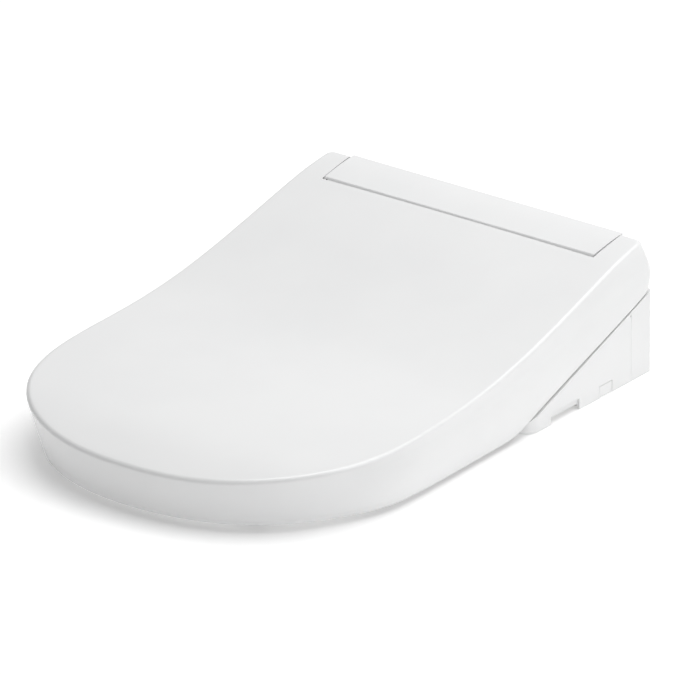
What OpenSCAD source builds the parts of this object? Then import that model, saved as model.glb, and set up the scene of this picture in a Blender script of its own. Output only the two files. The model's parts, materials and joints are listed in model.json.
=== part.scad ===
// Electric bidet seat: a washing seat with a hinged ring and lid on a flat body that latches to the bowl.
// Millimetres, +Z up, +Y to the rear, X to the right. The parts are drawn from the rear face of the body,
// then moved so that the origin lies midway between the two mounting bolts, on the rim of the bowl.

/* [Overall] */
// Widest width of the lid
lid_w = 383; // [370:1:390]
// Width across the body's side covers
body_w = 362; // [358:1:362]
// Distance from the mounting bolts to the rear face
bolt_setback = 65; // [60:1:70]

/* [Lid] */
// Wall thickness of the lid shell
lid_wall = 3; // [2.6:0.1:3.2]
// Radius of the lid's upper edge
edge_r = 4; // [3:0.5:5]
// Height of the lid's lower edge over the rim
lid_foot = 5; // [4:0.5:6]
// Length of the rounded front, from the widest place forward
nose_len = 180.5; // [176:0.5:184]
// Roundness of the front, 2 being an ellipse
nose_power = 2.3; // [2.1:0.1:2.5]

/* [Hinge] */
// Height of the hinge axis over the rim
axis_z = 100; // [99:0.5:101]
// Distance of the hinge axis in front of the rear face
axis_back = 20; // [19.5:0.5:20.5]
// Radius of the hinge shafts
shaft_r = 5; // [4:0.5:5]
// Radial clearance of every running fit
fit = 0.05; // [0.03:0.01:0.08]

/* [Seat] */
// Half width of the opening
hole_w = 108; // [104:1:112]
// Front end of the opening, from the rear face
hole_front = -468; // [-472:1:-464]
// Rear end of the opening, from the rear face
hole_rear = -205; // [-207:1:-203]
// Height of the seat's underside over the rim
seat_foot = 10; // [9:0.5:11]
// Gap between the seat and the lid's top surface
seat_drop = 16; // [15.5:0.5:17]

/* [Nozzle] */
// Slope of the nozzle, down to the front
nozzle_tilt = 11; // [10:0.5:11]
// Radius of the wand
wand_r = 5.5; // [5:0.1:5.5]
// How far the wand comes out
nozzle_travel = 80; // [70:1:80]
// Number of teeth on the drive pinion
pinion_teeth = 14; // [14:1:14]

/* [Mounting] */
// Distance between the two bolts
bolt_spacing = 155; // [150:1:160]
// Half width of the bolt slots
slot_r = 6; // [5.5:0.1:6.5]
// Length of the bolt slots
slot_len = 34; // [30:1:36]
// Radius of the water inlet's thread, G 1/2
inlet_r = 10.48; // [10.48:0.01:10.48]

/* [Hidden] */
$fn = 48;

// Height of the lid's top surface along its length, as [distance from the rear face, height]
slope = [[-545, 51], [-505, 57], [-468, 60.1], [-420, 62.3], [-360, 64.7], [-296, 67.3], [-255, 70.7],
  [-215, 76.3], [-168, 85.7], [-120, 97.6], [-73, 110], [-41, 117.9], [5, 125.6]];
widest_y = -359;
rear_hw = 182.5;
lid_hw = lid_w / 2;
body_hw = body_w / 2;
deck_hw = 148;
axis_y = -axis_back;
// The lid's lower edge climbs to the rear in a straight line
climb = 0.362;
climb_top = 79.5;
shadow_gap = 1.5;
skin = 2.5;
floor_top = 11.5;

// ---- smooth curve through given points ----
function tangent(p, i) = let (a = p[max(i - 1, 0)], b = p[min(i + 1, len(p) - 1)])
  (b[1] - a[1]) / (b[0] - a[0]);
function hermite(a, b, ta, tb, h, s) = (2*s*s*s - 3*s*s + 1) * a + (s*s*s - 2*s*s + s) * h * ta
  + (3*s*s - 2*s*s*s) * b + (s*s*s - s*s) * h * tb;
function curve_at(p, y, i = 0) = i < len(p) - 2 && y > p[i + 1][0] ? curve_at(p, y, i + 1)
  : let (h = p[i + 1][0] - p[i][0], s = (y - p[i][0]) / h)
    hermite(p[i][1], p[i + 1][1], tangent(p, i), tangent(p, i + 1), h, s);
function lid_top(y) = curve_at(slope, y);
function smooth(a, b, y) = let (s = max(0, min(1, (y - a) / (b - a)))) s * s * (3 - 2 * s);

// ---- plan outline of the lid: rounded front, then sides that draw in towards the rear ----
function along(y) = max(0, (y - widest_y) / -widest_y);
function side_x(y) = let (t = min(1, along(y)))
  rear_hw + (lid_hw - rear_hw) * (pow(1 - t, 2) + 2 * t * pow(1 - t, 6));
function nose_pt(a) = let (c = pow(cos(a), 2 / nose_power), s = pow(sin(a), 2 / nose_power),
    nx = pow(c, nose_power - 1) / lid_hw, ny = -pow(s, nose_power - 1) / nose_len, n = norm([nx, ny]))
  [lid_hw * c, widest_y - nose_len * s, nx / n, ny / n];
function side_pt(y) = [side_x(y), y, 1, 0];
// A corner keeps its radius however far it is inset: both directions move in by their full distance
function corner_pt(a, rear, r) = [side_x(rear) - r + r * cos(a), rear - r + r * sin(a), 1, 1];
function mirrored(p) = [-p[0], p[1], -p[2], p[3]];
// Half of the outline, from the middle of the rear edge round to the tip of the nose
function half_rim(rear, r, sides, nose, across) = concat(
  [for (i = [0:across - 1]) [(side_x(rear) - r) * (i + 0.5) / across, rear, 0, 1]],
  [for (i = [0:4]) corner_pt(90 - i * 22.5, rear, r)],
  [for (i = [1:sides]) side_pt(rear - r + (widest_y - rear + r) * i / sides)],
  [for (i = [1:nose]) nose_pt(90 * i / nose)]);
function rim(rear, r, sides, nose, across) = let (h = half_rim(rear, r, sides, nose, across), n = len(h))
  concat(h, [for (i = [1:n - 1]) mirrored(h[n - 1 - i])]);
function inset(p, d) = [p[0] - p[2] * d[0], p[1] - p[3] * d[1]];
function evenly(d) = [d, d];

// How far the upper edge, and the lower edge, stand inside the widest line of the skirt
function upper_inset(p) = [1.3 + 8 * pow(along(p[1]), 3), 1.3];
function lower_inset(p) =
  let (t = min(1, along(p[1])), d = 0.5 + 2 * pow(t, 16) + 9 * (1 - t) * abs(p[2]) + 8 * smooth(0, 0.5, -p[3]))
  [d, p[3] > 0 ? 0.5 : d];
function widest_drop(p) = 12 + 14 * pow(along(p[1]), 2);
function diagonal(y) = climb_top + climb * y;
// The rear end of the lower edge is an arc about the hinge axis, so that the lid can turn
edge_turn_r = 26.1;
// The lower edge rises a little towards the front
front_rise = 2.4;
function lid_bottom(y) =
  let (d = diagonal(y) - lid_foot, rise = front_rise * (1 - smooth(-520, -300, y)),
    straight = lid_foot + rise + (d + sqrt(d * d + 9)) / 2)
  y < -11 ? straight : axis_z - sqrt(edge_turn_r * edge_turn_r - pow(y - axis_y, 2));
function crown(x, y) = 1.2 * (1 - pow(x / side_x(y), 2)) * smooth(-530, -460, y);

// ---- a skin made of closed rings of points, capped at both ends by a fan ----
module ring_skin(first, rings, last) {
  n = len(rings[0]);
  m = len(rings);
  points = concat([first], [for (r = rings) each r], [last]);
  faces = concat(
    [for (i = [0:n - 1]) [0, 1 + (i + 1) % n, 1 + i]],
    [for (k = [0:m - 2], i = [0:n - 1]) let (a = 1 + k * n, b = a + n, j = (i + 1) % n)
      each [[a + i, a + j, b + j], [a + i, b + j, b + i]]],
    [for (i = [0:n - 1]) let (a = 1 + (m - 1) * n) [a + i, a + (i + 1) % n, m * n + 1]]);
  polyhedron(points, [for (f = faces) [f[2], f[1], f[0]]]);
}
// ---- a closed tube whose section is given at every station round a loop ----
module loop_skin(sections) {
  n = len(sections);
  m = len(sections[0]);
  faces = [for (i = [0:n - 1], k = [0:m - 1]) let (j = (i + 1) % n, l = (k + 1) % m)
    each [[i * m + k, j * m + k, j * m + l], [i * m + k, j * m + l, i * m + l]]];
  polyhedron([for (s = sections) each s], faces);
}
module along_x(x0, x1) {
  translate([x0, 0, 0]) rotate([90, 0, 90]) linear_extrude(x1 - x0) children();
}
module both_sides() {
  children();
  mirror([1, 0, 0]) children();
}
module rod_x(x0, x1, r, y, z) {
  translate([x0, y, z]) rotate([0, 90, 0]) cylinder(h = x1 - x0, r = r);
}
module block(low, high) {
  translate(low) cube(high - low);
}

// ================= lid =================
foot_wall = 2.4;
lid_mid = [0, -255];
fans = [0.1, 0.22, 0.34, 0.46, 0.57, 0.68, 0.78, 0.87, 0.95];
function raised(q, drop) = [q[0], q[1], lid_top(q[1]) + crown(q[0], q[1]) - drop];
function fan_ring(edge, s, drop) = [for (q = edge)
  raised([q[0] * s, lid_mid[1] + (q[1] - lid_mid[1]) * s], drop)];
module lid_shell() {
  lid_rim = rim(-1.5, 6, 17, 18, 6);
  top_edge = [for (p = lid_rim) inset(p, upper_inset(p) + evenly(edge_r))];
  function level(extra, drop) = [for (p = lid_rim) let (q = inset(p, upper_inset(p) + evenly(extra)))
    [q[0], q[1], lid_top(q[1]) + crown(q[0], q[1]) - drop]];
  function widest(extra) = [for (p = lid_rim) let (q = inset(p, evenly(extra)))
    [q[0], q[1], max(lid_top(q[1]) - widest_drop(p), lid_bottom(q[1]) + 3)]];
  function foot(extra, up) = [for (p = lid_rim) let (q = inset(p, lower_inset(p) + evenly(extra)))
    [q[0], q[1], lid_bottom(q[1]) + up]];
  outside = concat([for (s = fans) fan_ring(top_edge, s, 0)],
    [fan_ring(top_edge, 1, 0), level(edge_r * 0.5, edge_r * 0.134), level(edge_r * 0.134, edge_r * 0.5),
     level(0, edge_r), widest(0), foot(0, 1), foot(1, 0)]);
  inside = concat([foot(foot_wall, 0), widest(lid_wall), level(lid_wall, lid_wall + edge_r)],
    [for (i = [0:len(fans)]) fan_ring(top_edge, i == 0 ? 1 : fans[len(fans) - i], lid_wall)]);
  color("white") difference() {
    ring_skin(raised(lid_mid, 0), concat(outside, inside), raised(lid_mid, lid_wall));
    lid_notch();
  }
}
// The place of the deck panel: its front edge is an arc about the hinge axis
notch_hw = deck_hw + 1.8;
notch_r = 32.3;
module lid_notch() {
  arc = [for (a = [138:12:174]) [axis_y + notch_r * cos(a), axis_z + notch_r * sin(a)]];
  along_x(-notch_hw, notch_hw)
    polygon(concat([[10, axis_z + 40], [axis_y - 24, axis_z + 40]], arc, [[-45, 60], [10, 60]]));
}
liner_rear = -75;
module lid_liner() {
  liner_rim = rim(liner_rear, 14, 12, 14, 5);
  function edge(extra) = [for (p = liner_rim) inset(p, upper_inset(p) + evenly(extra))];
  function at(pts, drop) = [for (q = pts) raised(q, drop)];
  steps = [0.15, 0.32, 0.48, 0.63, 0.77, 0.9];
  up = edge(8.4);
  low = edge(8);
  color("whitesmoke") ring_skin(raised(lid_mid, 7.2),
    concat([for (s = steps) fan_ring(up, s, 7.2)],
      [at(up, 7.2), at(up, lid_wall - 0.3), at(edge(6), lid_wall - 0.3), at(edge(6), 8.6), at(low, 9.8)],
      [for (i = [1:len(steps)]) fan_ring(low, steps[len(steps) - i], 9.8)]),
    raised(lid_mid, 9.8));
}
lid_pads = [[165, -330], [105, -478]];
module lid_bumpers() {
  color("lightgray") both_sides() for (p = lid_pads)
    translate([p[0], p[1], lid_top(p[1]) - 15.4]) cylinder(h = 6.4, r = 6);
}
lug_x = [161.5, 168];
module lid_lug(bore) {
  difference() {
    union() {
      rod_x(lug_x[0], lug_x[1], 11, axis_y, axis_z);
      block([lug_x[0], axis_y - 9, axis_z], [lug_x[1], axis_y + 9, lid_top(axis_y) - lid_wall + 0.6]);
    }
    rod_x(lug_x[0] - 1, lug_x[1] + 1, bore, axis_y, axis_z);
  }
}
module lid_hinge_lugs() {
  color("white") lid_lug(shaft_r + fit);
  color("white") mirror([1, 0, 0]) lid_lug(shaft_r);
}
shaft_x = [100, 169.5];
module hinge_shaft() {
  rod_x(shaft_x[0], shaft_x[1], shaft_r, axis_y, axis_z);
  rod_x(shaft_x[1], shaft_x[1] + 2, shaft_r + 2, axis_y, axis_z);
}
module lid_hinge_shaft() { color("silver") mirror([1, 0, 0]) hinge_shaft(); }
module seat_hinge_shaft() { color("silver") hinge_shaft(); }

// ================= seat =================
seat_rear = -165;
hole_mid = (hole_front + hole_rear) / 2;
hole_half = (hole_rear - hole_front) / 2;
seat_rim = rim(seat_rear, 9, 9, 14, 5);
function hole_pt(p) = let (d = [p[0], p[1] - hole_mid], u = d / norm(d),
    r = pow(pow(abs(u[0]) / hole_w, 2.3) + pow(abs(u[1]) / hole_half, 2.3), -1 / 2.3))
  [u[0] * r, hole_mid + u[1] * r];
function seat_top(y) = lid_top(y) - seat_drop;
function seat_bottom(y) = seat_foot + 32 * smooth(-236, -200, y);
// A point of the section: distance in from the outer edge, or, where negative, from the opening's edge
// Where the ring is narrow, the distances beyond the rounded edges shrink so that the two sides never cross
edge_zone = 10;
ring_full = 70;
ring_least = 24;
function reach(d, width) =
  let (a = abs(d), k = max(0, min(1, (width - ring_least) / (ring_full - ring_least))))
  sign(d) * (a <= edge_zone ? a : edge_zone + (a - edge_zone) * k);
function section_pt(o, i, d, top, h) =
  let (l = norm(i - o), e = reach(d, l), s = (d < 0 ? l + e : e) / l, q = o + (i - o) * s)
  [q[0], q[1], (top ? seat_top(q[1]) : seat_bottom(q[1])) + h];
// section = list of [distance, 1 if measured from the top, height]
module seat_sweep(section) {
  loop_skin([for (p = seat_rim) let (o = inset(p, [16, p[3] > 0 ? 13 : 16]), i = hole_pt(p))
    [for (k = section) section_pt(o, i, k[0], k[1] == 1, k[2])]]);
}
module seat_ring_top() {
  color("white") seat_sweep([[6, 0, 1.8], [0.6, 1, -9], [1, 1, -5], [4, 1, -1.4], [10, 1, 0], [34, 1, -0.8],
    [-22, 1, -3], [-9, 1, -6.5], [-2.5, 1, -11], [-0.01, 1, -17], [-1, 0, 1.8],
    [-4, 0, 1.8], [-3, 1, -17], [-5.5, 1, -12.5], [-11, 1, -9], [-23, 1, -6], [34, 1, -3.8], [10, 1, -3],
    [5.5, 1, -4.2], [4, 1, -6.5], [3.6, 1, -9], [9, 0, 1.8]]);
}
module seat_ring_bottom() {
  color("whitesmoke") seat_sweep([[6.6, 0, 0], [6, 0, 1], [9, 0, 1], [30, 0, 1], [-20, 0, 1],
    [-4, 0, 1], [-1, 0, 1], [-1.6, 0, 0], [-20, 0, 0], [30, 0, 0]]);
}
module seat_heater() {
  color("orange") seat_sweep([[14, 1, -3.7], [34, 1, -4.6], [-25, 1, -7],
    [-25, 1, -7.5], [34, 1, -5.1], [14, 1, -4.2]]);
}
arm_x = [151, 160];
arm_wide = 166;
module arm_outline() {
  // Hollowed under the hinge, where the rear end of the open lid swings through
  polygon([[-176, 47], [-140, 53], [-100, 64], [-62, 77.5], [axis_y - 29, axis_z - 13],
    [axis_y - 25, axis_z - 9.8], [axis_y - 8, axis_z - 9.8], [axis_y, axis_z], [axis_y - 8, axis_z + 9],
    [-60, 96.5], [-100, 84], [-140, 71.5], [-176, 62]]);
}
module seat_arm(bore) {
  difference() {
    union() {
      along_x(arm_x[0], arm_x[1]) arm_outline();
      along_x(arm_x[1], arm_wide) intersection() {
        arm_outline();
        translate([-176, 0]) square([112, 120]);
      }
      rod_x(arm_x[0], arm_x[1], 12, axis_y, axis_z);
    }
    rod_x(arm_x[0] - 1, arm_x[1] + 1, bore, axis_y, axis_z);
  }
}
module seat_arms() {
  color("white") seat_arm(shaft_r);
  color("white") mirror([1, 0, 0]) seat_arm(shaft_r + fit);
}
seat_pads = [[148, -290], [98, -478]];
module seat_bumpers() {
  color("lightgray") both_sides() for (p = seat_pads) translate(concat(p, 0)) {
    translate([0, 0, 2]) cylinder(h = seat_foot - 2, r = 9);
    cylinder(h = 2, r1 = 8, r2 = 9);
  }
}

// ================= body covers =================
body_front = -195;
rear_seam = -32;
function shelf(y) = diagonal(y) - shadow_gap;
// Radius of the side covers' front corners, seen from above
front_r = 25;
module side_plan(d) {
  translate([deck_hw - 1, body_front + front_r]) square([body_hw - d - deck_hw + 1, -body_front]);
  translate([deck_hw - 1, body_front + d]) square([body_hw - front_r - deck_hw + 1, front_r]);
  translate([body_hw - front_r, body_front + front_r]) circle(front_r - d);
}
module side_outline(d) {
  rear = rear_seam - 0.3 + d * 9;
  front = body_front + d * 1.4;
  low = d < 1 ? 0 : -9;
  polygon([[-176, low], [-192 + d, 2.6 + d * 0.3], [front, shelf(front) - d * 1.06],
    [rear, shelf(rear) - d * 1.06], [rear, low]]);
}
// A step in the lower edge: open at the bottom, with a wall set back a little above
notch_step = [-153, -110];
notch_low = 5.5;
notch_top = 11;
notch_back = 2;
module side_cover() {
  difference() {
    union() {
      difference() {
        intersection() {
          along_x(deck_hw + 1, body_hw) side_outline(0);
          translate([0, 0, -1]) linear_extrude(100) side_plan(0);
        }
        intersection() {
          along_x(deck_hw, body_hw - skin) side_outline(skin);
          translate([0, 0, -10]) linear_extrude(120) side_plan(skin);
        }
      }
      block([body_hw - notch_back - skin, notch_step[0] - 2, 3],
        [body_hw - skin + 0.1, notch_step[1] + 2, notch_top + 2]);
    }
    block([body_hw - 9, notch_step[0], -1], [body_hw + 1, notch_step[1], notch_low]);
    block([body_hw - notch_back, notch_step[0], -1], [body_hw + 1, notch_step[1], notch_top]);
    // Chamfer at the top of the seam beside the rear cover
    translate([body_hw, rear_seam, 63]) rotate([45, 0, 0]) cube([2, 2.4, 2.4], center = true);
  }
}
button_y = [-80, -61];
button_top = 11;
module side_cover_right() {
  color("white") difference() {
    side_cover();
    block([body_hw - 9, button_y[0] - 0.4, -1], [body_hw + 1, button_y[1] + 0.4, button_top + 0.4]);
  }
}
inlet_at = [-46, 25];
aux_r = 5;
aux_front = [-138, 18.5];
aux_rear = [-121, 18.5];
grille_y = [-104, -98, -92, -86, -80];
module side_cover_left() {
  color("white") difference() {
    mirror([1, 0, 0]) side_cover();
    rod_x(-body_hw - 1, -body_hw + 9, 16.5, inlet_at[0], inlet_at[1]);
    for (y = grille_y) block([-body_hw - 1, y - 1.4, 14], [-body_hw + 9, y + 1.4, 34]);
    for (p = [aux_front, aux_rear]) rod_x(-body_hw - 1, -body_hw + 9, aux_r + 0.4, p[0], p[1]);
  }
}
module aux_button(p) {
  color("gainsboro") rod_x(-body_hw, -body_hw + 4, aux_r, p[0], p[1]);
}
module aux_button_front() { aux_button(aux_front); }
module aux_button_rear() { aux_button(aux_rear); }
module release_button() {
  color("white") block([body_hw - 3, button_y[0], 0.6], [body_hw, button_y[1], button_top]);
  color("white") block([body_hw - 16, button_y[0] + 5, 2.5], [body_hw - 3, button_y[1] - 5, 8]);
}
gland_at = [120, 24];
corner_r = 5;
module rear_plan(d) {
  hw = body_hw - d;
  r = corner_r - d;
  translate([-hw, rear_seam - d]) square([2 * hw, -rear_seam - corner_r + d]);
  translate([-hw + r, rear_seam]) square([2 * (hw - r), -rear_seam - d]);
  for (s = [-1, 1]) translate([s * (body_hw - corner_r), -corner_r]) circle(r);
}
module rear_cover() {
  color("white") difference() {
    union() {
      intersection() {
        linear_extrude(100) rear_plan(0);
        along_x(-body_hw, body_hw)
          polygon([[rear_seam, 0], [0, 0], [0, shelf(0)], [rear_seam, shelf(rear_seam)]]);
      }
      block([-deck_hw, -skin, 60], [deck_hw, 0, 119.4]);
    }
    intersection() {
      translate([0, 0, -1]) linear_extrude(100) rear_plan(skin);
      along_x(-body_hw, body_hw) polygon([[rear_seam - 9, -1], [9, -1], [9, shelf(9) - skin],
        [rear_seam - 9, shelf(rear_seam - 9) - skin]]);
    }
    block([-deck_hw - 0.4, rear_seam - 1, -1], [deck_hw + 0.4, -skin, 99]);
    translate([gland_at[0], 1, gland_at[1]]) rotate([90, 0, 0]) cylinder(h = 9, r = 8.3);
  }
}
module deck_outline(d) {
  low = d > 0 ? 0 : floor_top + 0.5;
  polygon([[-3.3 - d, low], [-3.3 - d, 118.2 - d], [-41, 112.6 - d], [-49 + d * 0.3, 104 - d],
    [-75, 95.5 - d], [-100, 88.5 - d], [-130, 79 - d], [-150 + d * 0.6, 68 - d],
    [-157.5 + d, 57 - d * 0.6], [-157.5 + d, low]]);
}
sensor_y = [-124, -106];
sensor_x = [70, 104];
module top_cover() {
  color("white") difference() {
    along_x(-deck_hw, deck_hw) deck_outline(0);
    along_x(-deck_hw + skin, deck_hw - skin) deck_outline(skin);
    block([-deck_hw + skin, -160, 0], [deck_hw - skin, -150, 40]);
    both_sides() rod_x(deck_hw - 4.5, deck_hw + 1.5, shaft_r + 1.5, axis_y, axis_z);
    block([sensor_x[0], sensor_y[0], 60], [sensor_x[1], sensor_y[1], 100]);
    rod_x(-deck_hw - 1, -deck_hw + skin + 1, 8, inlet_at[0], inlet_at[1]);
    translate([gland_at[0], 1, gland_at[1]]) rotate([90, 0, 0]) cylinder(h = 9, r = 11.5);
  }
}
module sensor_window() {
  color("dimgray") along_x(sensor_x[0] + 0.3, sensor_x[1] - 0.3) intersection() {
    difference() {
      deck_outline(0);
      deck_outline(skin);
    }
    translate([sensor_y[0] + 0.3, 60]) square([sensor_y[1] - sensor_y[0] - 0.6, 40]);
  }
}
panel_hw = 148.5;
panel_top = [[-44, 118.3], [-33, 120.3], [-20, 122.2], [-10, 123.3], [0, 124]];
// The front lip is an arc about the hinge axis, a little inside the notch of the lid
lip_r = [30.4, 28];
function panel_lip(r) = [for (i = [0:4]) let (z = 118 - i * 2)
  [axis_y - sqrt(r * r - pow(z - axis_z, 2)), z]];
module top_panel() {
  lower = [for (i = [len(panel_top) - 1:-1:0]) panel_top[i] - [0, 2.8]];
  color("white") difference() {
    union() {
      along_x(-panel_hw, panel_hw) polygon(concat(panel_top, lower));
      along_x(-panel_hw, panel_hw)
        polygon(concat(panel_lip(lip_r[0]), [for (i = [4:-1:0]) panel_lip(lip_r[1])[i]]));
    }
    // A small drain hole at the end of the groove before the panel
    translate([-panel_hw + 3, -42, 115.6]) rotate([90, 0, 0]) cylinder(h = 4, r = 1.2);
  }
}
port_hw = 15;
port_z = [12.5, 32];
fascia_skin = 2.4;
module front_fascia() {
  outer = [[-158, 39.4], [-187, 37.4], [-192.5, 34], [body_front, 28], [body_front, 3]];
  rear = body_front + fascia_skin;
  inner = [[rear, 3], [rear, 27.4], [-190.6, 32.2], [-186.4, 35], [-158, 37]];
  color("white") difference() {
    along_x(-deck_hw + 1, deck_hw - 1) polygon(concat(outer, inner));
    block([-port_hw, body_front - 1, port_z[0]], [port_hw, -188, port_z[1]]);
  }
}

// ================= base =================
rail_x = [106, 116];
module slot(x) {
  translate([x, -bolt_setback, -1]) linear_extrude(8) union() {
    square([slot_len - 2 * slot_r, 2 * slot_r], center = true);
    for (s = [-1, 1]) translate([s * (slot_len / 2 - slot_r), 0]) circle(slot_r);
  }
}
module base_plate() {
  color("gainsboro") difference() {
    union() {
      block([-118, -118, 0], [118, -24, 5]);
      both_sides() block([rail_x[0], -112, 5], [rail_x[1], -30, 8.4]);
      block([-30, -118, 5], [30, -112, 8.4]);
    }
    for (s = [-1, 1]) slot(s * bolt_spacing / 2);
  }
}
screw_at = [[160, -16], [160, -100], [136, -180], [40, -180], [136, -60]];
module base_chassis() {
  hw = body_hw - 5.5;
  color("lightgray") difference() {
    union() {
      block([-hw, -190, 9], [hw, -4, floor_top]);
      both_sides() block([hw - skin, -186, 0.6], [hw, -4, 9]);
      block([-hw, -6.5, 0.6], [hw, -4, 9]);
      block([-deck_hw + 4, -190, floor_top], [-port_hw - 6, -187.6, 20]);
      block([port_hw + 6, -190, floor_top], [deck_hw - 4, -187.6, 20]);
    }
    both_sides() for (p = screw_at) translate([p[0], p[1], 0]) cylinder(h = 20, r = 2.1);
    both_sides() block([hw - 9, notch_step[0] - 3, -1], [hw + 1, notch_step[1] + 3, 8]);
    block([hw - 9, button_y[0] - 1, -1], [hw + 1, button_y[1] + 1, 12]);
    // Room under the diagonal for the side covers' front ends
    both_sides() block([deck_hw, -191, -1], [hw + 1, -168, 12]);
    both_sides() translate([170, -160, 8]) cylinder(h = 5, r = 2.1);
  }
}
module case_screws() {
  color("silver") both_sides() for (p = screw_at) translate([p[0], p[1], 6.4]) {
    cylinder(h = 2.6, r = 3.5);
    cylinder(h = 9, r = 1.9);
  }
}

// ================= hinge dampers =================
module damper() {
  difference() {
    union() {
      rod_x(shaft_x[0] - 22, deck_hw - skin - 0.5, 12, axis_y, axis_z);
      block([shaft_x[0] - 14, axis_y - 9, axis_z - 20], [deck_hw - skin - 6, axis_y + 9, axis_z - 8]);
    }
    rod_x(shaft_x[0] - 2, deck_hw, shaft_r + fit, axis_y, axis_z);
  }
}
module seat_damper() { color("dimgray") damper(); }
module lid_damper() { color("dimgray") mirror([1, 0, 0]) damper(); }

// ================= water path =================
module tube(path, r) {
  function frame(i) =
    let (a = path[max(i - 1, 0)], b = path[min(i + 1, len(path) - 1)], t = (b - a) / norm(b - a),
      u = abs(t[2]) > 0.9 ? [1, 0, 0] : [0, 0, 1], s = cross(t, u) / norm(cross(t, u)))
    [s, cross(s, t)];
  sides = 8;
  rings = [for (i = [0:len(path) - 1]) let (f = frame(i)) [for (k = [0:sides - 1])
    path[i] + r * cos(k * 45) * f[0] + r * sin(k * 45) * f[1]]];
  ring_skin(path[0], rings, path[len(path) - 1]);
}
module water_inlet() {
  color("silver") difference() {
    union() {
      rod_x(-190, -173, inlet_r, inlet_at[0], inlet_at[1]);
      rod_x(-173, -169, 13, inlet_at[0], inlet_at[1]);
      rod_x(-169, -150, 7, inlet_at[0], inlet_at[1]);
    }
    rod_x(-191, -171, 8, inlet_at[0], inlet_at[1]);
    rod_x(-191, -149, 4, inlet_at[0], inlet_at[1]);
  }
}
module inlet_strainer() {
  color("lightsteelblue") difference() {
    rod_x(-188, -171, 7.6, inlet_at[0], inlet_at[1]);
    rod_x(-189, -173, 6.6, inlet_at[0], inlet_at[1]);
    rod_x(-189, -170, 3, inlet_at[0], inlet_at[1]);
  }
}
module solenoid_valve() {
  color("white") block([-144, -58, 13], [-112, -34, 36]);
  color("white") rod_x(-149.8, -144, 7, inlet_at[0], inlet_at[1]);
  color("dimgray") translate([-128, -46, 36]) cylinder(h = 24, r = 11);
}
module flow_valve() {
  color("white") block([-96, -56, 13], [-66, -36, 34]);
  color("white") translate([-81, -46, 34]) cylinder(h = 30, r = 9);
}
module water_heater() {
  color("tan") block([26, -60, 13], [122, -28, 56]);
  color("silver") rod_x(20, 26, 5, -44, 44);
  color("silver") rod_x(122, 128, 5, -44, 24);
}
module water_pump() {
  color("dimgray") rod_x(62, 104, 13, -84, 27);
  color("white") block([44, -98, 14], [62, -70, 40]);
}
hose_r = 3.2;
inlet_hose = [[-111.7, -46, 25], [-108, -46, 25], [-104, -46, 25.5], [-100, -46, 26], [-96.3, -46, 26]];
heater_hose = [[-65.7, -46, 26], [-62, -46, 26], [-52, -46, 27], [-36, -44, 34], [-16, -42, 42],
  [4, -42, 44], [15, -44, 44], [19.7, -44, 44]];
pump_hose = [[128.3, -44, 24], [131, -44, 24], [136, -49, 24], [138, -60, 24], [137, -74, 25],
  [131, -82, 26], [120, -84, 27], [104.3, -84, 27]];
nozzle_hose = [[43.7, -80, 32], [40, -80, 32], [32, -76, 38], [22, -64, 50], [10, -56, 56],
  [0, -47, 58], [-6, -42, 62], [-6, -38, 70]];
module water_hoses() {
  color("lightblue") for (path = [inlet_hose, heater_hose, pump_hose, nozzle_hose]) tube(path, hose_r);
}

// ================= nozzle =================
nozzle_at = [0, -191, 21.5];
wand_len = nozzle_travel + 58;
rack_flat = 4.2;
rack_y = 46;
pitch_h = 7.4;
pitch_r = pinion_teeth / 2;
tooth_tip = 0.75;
tooth_root = 0.95;
backlash = 0.16;
pinion_y = 52;
// In the nozzle's own frame +Y runs back along the wand and +Z away from it
module on_nozzle() {
  translate(nozzle_at) rotate([nozzle_tilt, 0, 0]) children();
}
module rod_y(y0, y1, r, x, z) {
  translate([x, y1, z]) rotate([90, 0, 0]) cylinder(h = y1 - y0, r = r);
}
module nozzle_wand() {
  color("silver") on_nozzle() difference() {
    rod_y(20, wand_len, wand_r, 0, 0);
    block([-wand_r, rack_y - 1, rack_flat], [wand_r, wand_len + 1, wand_r + 1]);
    rod_y(19, wand_len - 6, 2, 0, -1);
    rod_y(wand_len - 8, wand_len + 1, 2.6, 0, -1);
  }
}
module nozzle_tip() {
  color("white") on_nozzle() difference() {
    rod_y(1, 20, wand_r, 0, 0);
    rod_y(6, 21, 2, 0, -1);
    for (y = [8, 12]) translate([0, y, 0]) cylinder(h = 9, r = 0.8);
  }
}
module nozzle_shutter() {
  color("white") on_nozzle() rod_y(-1, 1, wand_r - 1, 0, 0);
  color("white") translate([0, body_front - 0.5, 0])
    block([-port_hw + 1, -2, port_z[0] + 1], [port_hw - 1, 0, port_z[1] - 1]);
  color("white") on_nozzle() rod_y(-7, -1, 3, 0, 0);
}
module nozzle_rack() {
  pitch = PI;
  first = -1;
  last = floor((wand_len - pinion_y - 3) / pitch);
  half = pitch / 4 - backlash / 2;
  tan20 = tan(20);
  low = half + tooth_root * tan20;
  high = half - tooth_tip * tan20;
  teeth = [for (k = [first:last]) let (c = pinion_y + k * pitch) each [
    [c - low, pitch_h - tooth_root], [c - high, pitch_h + tooth_tip],
    [c + high, pitch_h + tooth_tip], [c + low, pitch_h - tooth_root]]];
  color("white") on_nozzle() along_x(-2.5, 2.5)
    polygon(concat([[rack_y, rack_flat], [rack_y, pitch_h - tooth_root]], teeth,
      [[wand_len - 0.5, pitch_h - tooth_root], [wand_len - 0.5, rack_flat]]));
}
function involute(rb, r) = let (t = sqrt(max(0, r * r / (rb * rb) - 1))) t * 180 / PI - atan(t);
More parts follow.
